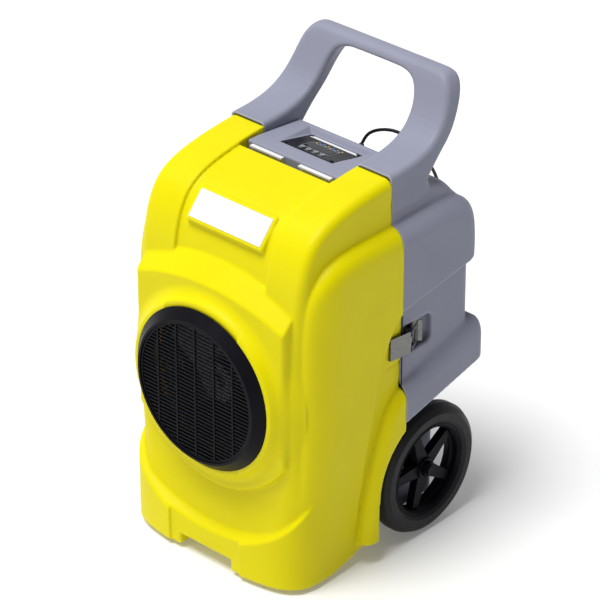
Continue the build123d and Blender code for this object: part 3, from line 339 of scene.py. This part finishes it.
def surface(field, x_high, y_range, z_range, step):
    """Quads on the zero level of a field that is the same on both sides of x = 0."""
    half = np.arange(0, x_high + step, step)
    xs = np.concatenate([-half[:0:-1], half])
    ys = np.arange(*y_range, step)
    zs = np.arange(*z_range, step)
    values = np.broadcast_to(field(half[:, None, None], ys[None, :, None], zs[None, None, :]),
                             (len(half), len(ys), len(zs)))
    values = np.concatenate([values[:0:-1], values]).astype(np.float32)
    values[values == 0] = 1e-4
    inside = values < 0
    nx, ny, nz = (n - 1 for n in values.shape)
    mixed = np.zeros((nx, ny, nz), np.int8)
    for i, j, k in CORNERS:
        mixed += inside[i:i + nx, j:j + ny, k:k + nz]
    cells = np.argwhere((mixed > 0) & (mixed < 8))
    number = np.full((nx, ny, nz), -1, np.int64)
    number[tuple(cells.T)] = np.arange(len(cells))
    corner_values = np.stack([values[tuple((cells + c).T)] for c in CORNERS], 1)
    places = np.array(CORNERS, float)
    total, hits = np.zeros((len(cells), 3)), np.zeros(len(cells))
    for a, b in EDGES:
        va, vb = corner_values[:, a], corner_values[:, b]
        crossing = (va < 0) != (vb < 0)
        t = np.where(crossing, va / np.where(crossing, va - vb, 1), 0)
        total += crossing[:, None] * (places[a] + t[:, None] * (places[b] - places[a]))
        hits += crossing
    points = (cells + total / hits[:, None]) * step + (xs[0], ys[0], zs[0])
    quads = []
    for axis in range(3):
        u, v = [(1, 2), (2, 0), (0, 1)][axis]
        low = [slice(1, n) for n in inside.shape]
        low[axis] = slice(0, inside.shape[axis] - 1)
        high = list(low)
        high[axis] = slice(1, inside.shape[axis])
        a, b = inside[tuple(low)], inside[tuple(high)]
        for rising in (True, False):
            at = np.argwhere((a & ~b) if rising else (~a & b))
            at[:, u] += 1
            at[:, v] += 1
            keep = (at[:, u] < number.shape[u]) & (at[:, v] < number.shape[v])
            at = at[keep]
            du, dv = np.zeros(3, int), np.zeros(3, int)
            du[u], dv[v] = 1, 1
            ring = [number[tuple((at - o).T)] for o in (du + dv, dv, 0 * du, du)]
            quads.append(np.stack(ring if rising else ring[::-1], 1))
    quads = np.concatenate(quads)
    for _ in range(3):
        x, y, z = points.T
        here = field(x, y, z)
        e = 0.05
        ahead = [field(x + e, y, z) - here, field(x, y + e, z) - here, field(x, y, z + e) - here]
        slope = np.stack(ahead, 1) / e
        size = np.maximum((slope ** 2).sum(1), 0.2)
        move = -(here / size)[:, None] * slope
        length = np.linalg.norm(move, axis=1)
        points = points + move * np.minimum(1, 0.4 * step / np.maximum(length, 1e-9))[:, None]
    return points, quads[(quads >= 0).all(1)]


def mesh_object(name, points, faces, material):
    mesh = bpy.data.meshes.new(name)
    mesh.vertices.add(len(points))
    mesh.vertices.foreach_set("co", np.asarray(points, np.float32).ravel())
    mesh.loops.add(faces.size)
    mesh.loops.foreach_set("vertex_index", faces.astype(np.int32).ravel())
    mesh.polygons.add(len(faces))
    mesh.polygons.foreach_set("loop_start", np.arange(0, faces.size, faces.shape[1], dtype=np.int32))
    mesh.update(calc_edges=True)
    mesh.validate()
    mesh.polygons.foreach_set("use_smooth", np.ones(len(mesh.polygons), bool))
    piece = bpy.data.objects.new(name, mesh)
    bpy.context.scene.collection.objects.link(piece)
    mesh.materials.append(material)
    return piece


def apply_modifiers(piece):
    with bpy.context.temp_override(object=piece, active_object=piece, selected_objects=[piece]):
        for modifier in list(piece.modifiers):
            bpy.ops.object.modifier_apply(modifier=modifier.name)


def trim(piece, y, keep_front, openings):
    """Cuts a closed shell at the seam and takes out the faces that close its openings."""
    bm = bmesh.new()
    bm.from_mesh(piece.data)
    at = (0, (y + SEAM_Y) * 0.001, 0)
    bmesh.ops.bisect_plane(bm, geom=bm.verts[:] + bm.edges[:] + bm.faces[:], plane_co=at, plane_no=(0, 1, 0),
                           clear_outer=keep_front, clear_inner=not keep_front, dist=1e-5)
    gone = []
    for face in bm.faces:
        middle = face.calc_center_median()
        x, y, z = middle.x * 1000, middle.y * 1000 - SEAM_Y, middle.z * 1000
        if any(test(x, y, z) for test in openings):
            gone.append(face)
    bmesh.ops.delete(bm, geom=gone, context="FACES")
    bm.to_mesh(piece.data)
    bm.free()


def hollow(piece):
    """Gives an open surface the wall thickness, inwards."""
    solid = piece.modifiers.new("wall", "SOLIDIFY")
    solid.thickness = WALL * 0.001
    solid.offset = -1
    solid.use_rim = True
    apply_modifiers(piece)


# ---- materials ----

def nodes_of(name):
    material = bpy.data.materials.new(name)
    material.use_nodes = True
    tree = material.node_tree
    return material, tree, tree.nodes["Principled BSDF"]


def noise(tree, scale, detail=2.0, stretch=(1, 1, 1)):
    """Noise in the object's own coordinates; scale is waves a metre."""
    where = tree.nodes.new("ShaderNodeTexCoord")
    turned = tree.nodes.new("ShaderNodeMapping")
    turned.inputs["Scale"].default_value = stretch
    texture = tree.nodes.new("ShaderNodeTexNoise")
    texture.inputs["Scale"].default_value = scale
    texture.inputs["Detail"].default_value = detail
    tree.links.new(where.outputs["Object"], turned.inputs["Vector"])
    tree.links.new(turned.outputs["Vector"], texture.inputs["Vector"])
    return texture.outputs["Fac"]


def spread_between(tree, value, low, high, first=0.3, last=0.7):
    mapped = tree.nodes.new("ShaderNodeMapRange")
    mapped.inputs["From Min"].default_value = first
    mapped.inputs["From Max"].default_value = last
    mapped.inputs["To Min"].default_value = low
    mapped.inputs["To Max"].default_value = high
    tree.links.new(value, mapped.inputs["Value"])
    return mapped.outputs["Result"]


def blended(tree, factor, first, second):
    """Colour between two, either of which may be a socket."""
    mix = tree.nodes.new("ShaderNodeMix")
    mix.data_type = "RGBA"
    tree.links.new(factor, mix.inputs["Factor"])
    for socket, colour in (("A", first), ("B", second)):
        target = [s for s in mix.inputs if s.name == socket and s.type == "RGBA"][0]
        if isinstance(colour, tuple):
            target.default_value = (*colour, 1)
        else:
            tree.links.new(colour, target)
    return [s for s in mix.outputs if s.type == "RGBA"][0]


def bumped(tree, shader, layers):
    """layers is (height socket, strength, depth in metres), each on top of the one before."""
    before = None
    for height, strength, depth in layers:
        bump = tree.nodes.new("ShaderNodeBump")
        bump.inputs["Strength"].default_value = strength
        bump.inputs["Distance"].default_value = depth
        tree.links.new(height, bump.inputs["Height"])
        if before:
            tree.links.new(before, bump.inputs["Normal"])
        before = bump.outputs["Normal"]
    tree.links.new(before, shader.inputs["Normal"])


def worn_edge(tree):
    """From 0 on flat ground to 1 on outward edges."""
    geometry = tree.nodes.new("ShaderNodeNewGeometry")
    return spread_between(tree, geometry.outputs["Pointiness"], 0.0, 1.0, 0.52, 0.60)


def moulded(name, colour, shade, rough=0.4, grain=900.0, edge=None, specular=0.5, grain_depth=0.00012):
    """Rotomoulded or injected plastic: slight cloudiness, fine grain, faint flow ripple, paler edges."""
    material, tree, shader = nodes_of(name)
    cloud = noise(tree, 7.0, 3.0)
    tint = blended(tree, spread_between(tree, cloud, 0.0, 1.0), colour, shade)
    if edge:
        tint = blended(tree, worn_edge(tree), tint, edge)
    tree.links.new(tint, shader.inputs["Base Color"])
    scuff = noise(tree, 38.0, 5.0)
    tree.links.new(spread_between(tree, scuff, rough - 0.05, rough + 0.07), shader.inputs["Roughness"])
    shader.inputs["Specular IOR Level"].default_value = specular
    ripple, fine = noise(tree, 16.0, 1.0), noise(tree, grain, 2.0)
    bumped(tree, shader, [(ripple, 0.10, 0.0012), (fine, 0.30, grain_depth)])
    return material


def metal(name, colour, shade, rough=0.3, stretch=(1, 1, 1), scale=60.0, depth=0.00003):
    """Bare or plated metal; stretch draws the grain out one way."""
    material, tree, shader = nodes_of(name)
    grain = noise(tree, scale, 4.0, stretch)
    tint = blended(tree, spread_between(tree, grain, 0.0, 1.0), colour, shade)
    tree.links.new(tint, shader.inputs["Base Color"])
    tree.links.new(spread_between(tree, grain, rough - 0.06, rough + 0.08), shader.inputs["Roughness"])
    shader.inputs["Metallic"].default_value = 1.0
    bumped(tree, shader, [(grain, 0.35, depth)])
    return material


MATERIALS = {
    "yellow_shell": moulded("yellow_shell", (0.77, 0.685, 0.0), (0.735, 0.645, 0.0), 0.42,
                            edge=(0.84, 0.78, 0.004), specular=0.13),
    "grey_shell": moulded("grey_shell", (0.275, 0.283, 0.362), (0.252, 0.26, 0.335), 0.46,
                          edge=(0.37, 0.38, 0.46), specular=0.16),
    "black_plastic": moulded("black_plastic", (0.006, 0.006, 0.009), (0.004, 0.004, 0.006), 0.36, 700.0,
                             specular=0.07),
    "black_rubber": moulded("black_rubber", (0.016, 0.016, 0.017), (0.010, 0.010, 0.011), 0.62, 500.0),
    "tyre": moulded("tyre", (0.018, 0.018, 0.020), (0.011, 0.011, 0.013), 0.52, 600.0,
                    edge=(0.024, 0.024, 0.026), specular=0.2),
    "bush_nylon": moulded("bush_nylon", (0.62, 0.60, 0.54), (0.55, 0.53, 0.47), 0.45),
    "zinc_steel": metal("zinc_steel", (0.52, 0.53, 0.54), (0.40, 0.41, 0.43), 0.36, scale=45.0),
    "dark_steel": metal("dark_steel", (0.10, 0.10, 0.11), (0.06, 0.06, 0.07), 0.45, scale=45.0),
    "stainless": metal("stainless", (0.20, 0.20, 0.19), (0.14, 0.14, 0.135), 0.28, (1, 1, 26), 45.0),
    "motor_black": moulded("motor_black", (0.014, 0.014, 0.016), (0.010, 0.010, 0.012), 0.35, 400.0),
    "fan_alloy": metal("fan_alloy", (0.20, 0.20, 0.21), (0.13, 0.13, 0.14), 0.34, scale=70.0),
    "copper": metal("copper", (0.72, 0.32, 0.17), (0.50, 0.20, 0.10), 0.30, scale=50.0),
    "brass_fitting": metal("brass_fitting", (0.70, 0.52, 0.22), (0.55, 0.40, 0.15), 0.30, scale=50.0),
    "grey_moulding": moulded("grey_moulding", (0.16, 0.165, 0.20), (0.135, 0.14, 0.17), 0.48),
    "clear_hose": moulded("clear_hose", (0.55, 0.58, 0.58), (0.45, 0.49, 0.49), 0.22),
    "white_plate": moulded("white_plate", (0.80, 0.80, 0.80), (0.74, 0.74, 0.75), 0.30, 1200.0,
                           grain_depth=0.00004),
    "panel_black": moulded("panel_black", (0.010, 0.010, 0.012), (0.006, 0.006, 0.008), 0.26, 1400.0,
                           grain_depth=0.00004, specular=0.25),
    "display_glass": moulded("display_glass", (0.004, 0.005, 0.007), (0.003, 0.003, 0.005), 0.10, 1400.0,
                             grain_depth=0.000005),
    "key_rubber": moulded("key_rubber", (0.14, 0.15, 0.17), (0.10, 0.11, 0.13), 0.5, 1200.0,
                          edge=(0.25, 0.26, 0.28)),
    "circuit_green": moulded("circuit_green", (0.01, 0.11, 0.04), (0.01, 0.07, 0.03), 0.35),
    "filter_media": moulded("filter_media", (0.56, 0.58, 0.60), (0.40, 0.42, 0.45), 0.85, 260.0,
                            grain_depth=0.0006),
    "cord_black": moulded("cord_black", (0.006, 0.006, 0.007), (0.004, 0.004, 0.005), 0.40,
                          specular=0.2),
}


def dress_cad():
    """Each CAD node takes the procedural material of its own slot in the record."""
    for node in NODES.values():
        for slot in node.material_slots:
            name = slot.material.name.split(".")[0] if slot.material else ""
            if name not in MATERIALS:
                print("no finish for", node.name, name)
                continue
            slot.material = MATERIALS[name]


# ---- shells ----

def mount_moulding(piece, node):
    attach(piece, "cabinet")
    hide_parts(node)


def make_shells():
    points, quads = surface(front_field, 243, (-310.5, 11.5), (2.5, 751), SHELL_GRID)
    front = mesh_object("front_shell_moulding", place(points), quads, MATERIALS["yellow_shell"])
    trim(front, -0.75, True, [lambda x, y, z: -238.5 < y < -230 and math.hypot(x, z - OUTLET_Z) < 148])
    hollow(front)
    mount_moulding(front, "front_shell")
    points, quads = surface(rear_field, 243, (-10.5, 227.5), (20.5, 882.5), SHELL_GRID)
    rear = mesh_object("rear_shell_moulding", place(points), quads, MATERIALS["grey_shell"])
    trim(rear, 0.75, False, [lambda x, y, z: 148 < y < 152.5 and abs(x) < 124 and 324 < z < 550])
    hollow(rear)
    mount_moulding(rear, "rear_shell")
    points, quads = surface(console_field, 111, (-48, 98), (692, 736), CONSOLE_GRID)
    console = mesh_object("console_moulding", place(points), quads, MATERIALS["grey_shell"])
    mount_moulding(console, "rear_shell")


# ---- console details ----

PANEL_Y, PANEL_Z = 31.5, 721.0
PANEL_TILT = math.atan2(-18.0, 81.0)
PRINT_SINK = -0.05      # prints and the label start just under the plate's face
ICON_PITCH, ICON_WIDE, ICON_DEEP = 10.6, 4.6, 2.4


def on_panel(across, along, up):
    """Point on the control plate: across is X, along runs to the rear, up is off its face."""
    c, n = math.cos(PANEL_TILT), math.sin(PANEL_TILT)
    return (across, PANEL_Y + along * c - up * n, PANEL_Z + along * n + up * c)


def panel_tile(name, x0, x1, v0, v1, thick, radius, material):
    """Thin tile on the control plate, with round corners and a rounded top edge."""
    rings, steps = [], 5
    for inset, up in ((0.0, PRINT_SINK), (0.0, thick - 0.25), (0.1, thick - 0.07), (0.3, thick)):
        ring = []
        for cx, cy, start in ((x1, v1, 0), (x0, v1, 90), (x0, v0, 180), (x1, v0, 270)):
            sx, sy = (1 if cx == x1 else -1), (1 if cy == v1 else -1)
            for i in range(steps + 1):
                a = math.radians(start + 90 * i / steps)
                r = max(radius - inset, 0.05)
                across, along = cx - sx * radius + r * math.cos(a), cy - sy * radius + r * math.sin(a)
                ring.append(on_panel(across, along, up))
        rings.append(ring)
    count = len(rings[0])
    bm = bmesh.new()
    rows = [[bm.verts.new(tuple(place(p))) for p in ring] for ring in rings]
    for low_row, high_row in zip(rows, rows[1:]):
        for i in range(count):
            j = (i + 1) % count
            bm.faces.new((low_row[i], low_row[j], high_row[j], high_row[i]))
    bm.faces.new(rows[-1])
    bm.faces.new(rows[0][::-1])
    mesh = bpy.data.meshes.new(name)
    bm.to_mesh(mesh)
    bm.free()
    mesh.materials.append(material)
    tile = bpy.data.objects.new(name, mesh)
    bpy.context.scene.collection.objects.link(tile)
    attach(tile, "cabinet")


def ink(name, colour, strength):
    """Printed colour, faintly lit by the panel when strength is above 0."""
    material, tree, shader = nodes_of(name)
    factor = spread_between(tree, noise(tree, 900.0), 0.0, 1.0)
    tone = blended(tree, factor, colour, tuple(0.8 * c for c in colour))
    tree.links.new(tone, shader.inputs["Base Color"])
    shader.inputs["Emission Color"].default_value = (*colour, 1)
    shader.inputs["Emission Strength"].default_value = strength
    shader.inputs["Roughness"].default_value = 0.4
    return material


def make_console_details():
    """Blank label, thin frame and marks; they say nothing."""
    panel_tile("panel_label", -55, 55, 29.5, 38, 0.35, 1.2, MATERIALS["white_plate"])
    pale = ink("panel_print", (0.42, 0.44, 0.47), 0.0)
    frame_bars = {
        "frame_rear": (-32, 32, 10.6, 11.3),
        "frame_front": (-32, 32, -19.3, -18.6),
        "frame_left": (-32, -31.3, -18.6, 10.6),
        "frame_right": (31.3, 32, -18.6, 10.6),
    }
    for name, box in frame_bars.items():
        panel_tile(name, *box, 0.25, 0.2, pale)
    tones = [ink("print_amber", (0.75, 0.42, 0.06), 0.2), ink("print_blue", (0.10, 0.30, 0.75), 0.2), pale]
    number = 0
    for row, v in enumerate((13.6, 18.2)):
        for column in range(6):
            x = -27 + column * ICON_PITCH + 3 * row
            number += 1
            tone = tones[(column + row) % 3]
            panel_tile(f"icon_{number}", x, x + ICON_WIDE, v, v + ICON_DEEP, 0.22, 0.9, tone)
    for column in range(4):
        x = -24 + 16 * column
        panel_tile(f"key_mark_{column + 1}", x - 3.6, x + 3.6, -34.2, -33.0, 0.2, 0.5, pale)


# ---- stage and lights ----

def make_floor():
    half = 30.0
    corners = [(-half, -half, 0), (half, -half, 0), (half, half, 0), (-half, half, 0)]
    mesh = bpy.data.meshes.new("floor")
    mesh.from_pydata(corners, [], [(0, 1, 2, 3)])
    floor = bpy.data.objects.new("floor", mesh)
    bpy.context.scene.collection.objects.link(floor)
    material, tree, shader = nodes_of("floor_paint")
    mottle = spread_between(tree, noise(tree, 0.7, 2.0), 0.0, 1.0)
    shade = blended(tree, mottle, (0.76, 0.76, 0.76), (0.745, 0.745, 0.75))
    tree.links.new(shade, shader.inputs["Base Color"])
    shader.inputs["Roughness"].default_value = 0.9
    shader.inputs["Specular IOR Level"].default_value = 0.1
    shader.inputs["Emission Color"].default_value = (1.0, 1.0, 1.0, 1)
    shader.inputs["Emission Strength"].default_value = 0.14
    mesh.materials.append(material)


def make_lights():
    """A pale room, brighter on the left, and one soft key light from above and in front."""
    world = bpy.data.worlds.new("studio")
    world.use_nodes = True
    links, node = world.node_tree.links, world.node_tree.nodes
    background = node["Background"]
    background.inputs["Color"].default_value = (1.0, 1.0, 1.0, 1)
    parts = node.new("ShaderNodeSeparateXYZ")
    dimmed = node.new("ShaderNodeMapRange")
    for socket, value in (("From Min", -0.3), ("From Max", 0.8), ("To Min", 0.5), ("To Max", 0.06)):
        dimmed.inputs[socket].default_value = value
    links.new(node.new("ShaderNodeTexCoord").outputs["Generated"], parts.inputs["Vector"])
    links.new(parts.outputs["X"], dimmed.inputs["Value"])
    links.new(dimmed.outputs["Result"], background.inputs["Strength"])
    bpy.context.scene.world = world
    data = bpy.data.lights.new("key", "SUN")
    data.energy = 3.25
    data.angle = math.radians(30)
    light = bpy.data.objects.new("key", data)
    bpy.context.scene.collection.objects.link(light)
    light.rotation_euler = Vector((-0.10, -0.29, 0.95)).to_track_quat("Z", "Y").to_euler()


bpy.context.scene.view_settings.view_transform = "Standard"
make_camera()
make_cord(MATERIALS["cord_black"])
dress_cad()
make_shells()
make_console_details()
make_floor()
make_lights()
